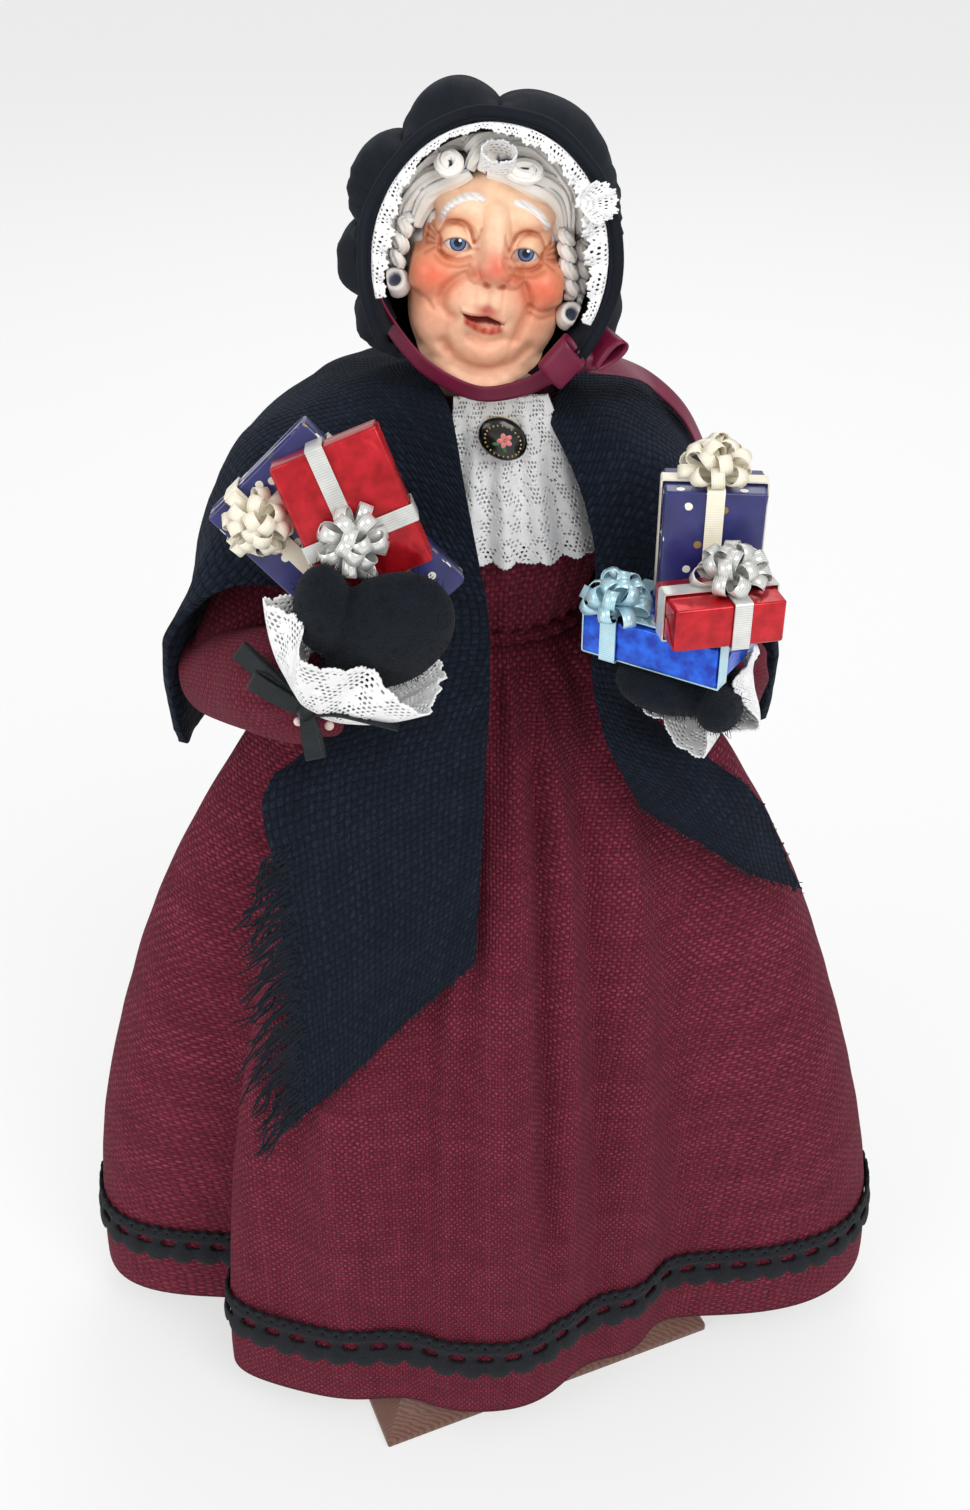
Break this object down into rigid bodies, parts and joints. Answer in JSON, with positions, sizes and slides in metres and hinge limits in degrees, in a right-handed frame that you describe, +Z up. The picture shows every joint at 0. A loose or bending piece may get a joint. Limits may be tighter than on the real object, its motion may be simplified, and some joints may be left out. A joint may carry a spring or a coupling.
{
  "type": "character doll",
  "caption": "Standing cloth doll of an old lady in a long wool dress, fringed shawl and lace-trimmed bonnet, holding wrapped gift boxes in mittened hands, on a wooden base.",
  "frame": {"origin": "middle of the wooden base's underside", "axes": "+Z up through the doll, which faces -Y; its own right hand is at -X"},
  "size_m": [0.2199, 0.1399, 0.3311],
  "materials": {
    "wood": "stained and waxed",
    "dowel": "bare",
    "wire": "bare wire",
    "batting": "loose fibre filling",
    "muslin": "plain cotton",
    "wool": "heathered plain-weave wool",
    "braid": "crocheted braid",
    "shawl": "coarse basket-weave wool",
    "mitten": "felted wool",
    "bonnet": "dull black cloth",
    "lace": "open cotton lace",
    "ribbon": "satin",
    "black_ribbon": "satin",
    "skin": "painted cast resin",
    "hair": "painted modelled curls",
    "navy_paper": "dotted wrapping paper",
    "red_foil": "metallic foil wrap",
    "blue_foil": "metallic foil wrap",
    "cream_ribbon": "gift ribbon",
    "silver_ribbon": "gift ribbon",
    "ice_ribbon": "gift ribbon",
    "cameo": "gloss oval stone",
    "gilt": "gilt rim"
  },
  "bodies": {
    "figure": {"base_block": "wood", "stand_dowel": "dowel", "petticoat": "batting", "skirt": "wool", "skirt_braid": "braid", "torso_core": "muslin", "shoulder_wire": "wire", "bodice": "wool", "right_upper_sleeve": "wool", "left_upper_sleeve": "wool", "shawl": "shawl", "jabot_lace": "lace", "brooch_mount": "gilt", "brooch_cabochon": "cameo", "ribbon_tail": "ribbon"},
    "head": {"head_casting": "skin", "hair": "hair", "bonnet_crown": "bonnet", "bonnet_brim": "bonnet", "bonnet_lace": "lace", "chin_ribbon": "ribbon", "chin_bow": "ribbon"},
    "right_forearm": {"right_forearm_wire": "wire", "right_forearm_sleeve": "wool", "right_mitten": "mitten", "right_cuff_lace": "lace", "right_cuff_bow": "black_ribbon", "right_navy_box": "navy_paper", "right_navy_ribbon": "cream_ribbon", "right_navy_bow": "cream_ribbon", "right_red_box": "red_foil", "right_red_ribbon": "silver_ribbon", "right_red_bow": "silver_ribbon"},
    "left_forearm": {"left_forearm_wire": "wire", "left_forearm_sleeve": "wool", "left_mitten": "mitten", "left_cuff_lace": "lace", "left_blue_box": "blue_foil", "left_blue_ribbon": "ice_ribbon", "left_blue_bow": "ice_ribbon", "left_red_box": "red_foil", "left_red_ribbon": "silver_ribbon", "left_red_bow": "silver_ribbon", "left_navy_box": "navy_paper", "left_navy_ribbon": "cream_ribbon", "left_navy_bow": "cream_ribbon"}
  },
  "joints": [
    {"name": "head_turn", "type": "hinge", "parent": "figure", "child": "head", "pos_m": [0, -0.007, 0.2732], "axis": [0, 0, 1], "range_deg": [-25, 25]},
    {"name": "right_elbow", "type": "hinge", "parent": "figure", "child": "right_forearm", "pos_m": [-0.057, -0.018, 0.2122], "axis": [-0.838, -0.5457, 0], "range_deg": [-12, 7]},
    {"name": "left_elbow", "type": "hinge", "parent": "figure", "child": "left_forearm", "pos_m": [0.047, -0.01, 0.2102], "axis": [-0.9997, 0.0256, 0], "range_deg": [-12, 7]}
  ]
}
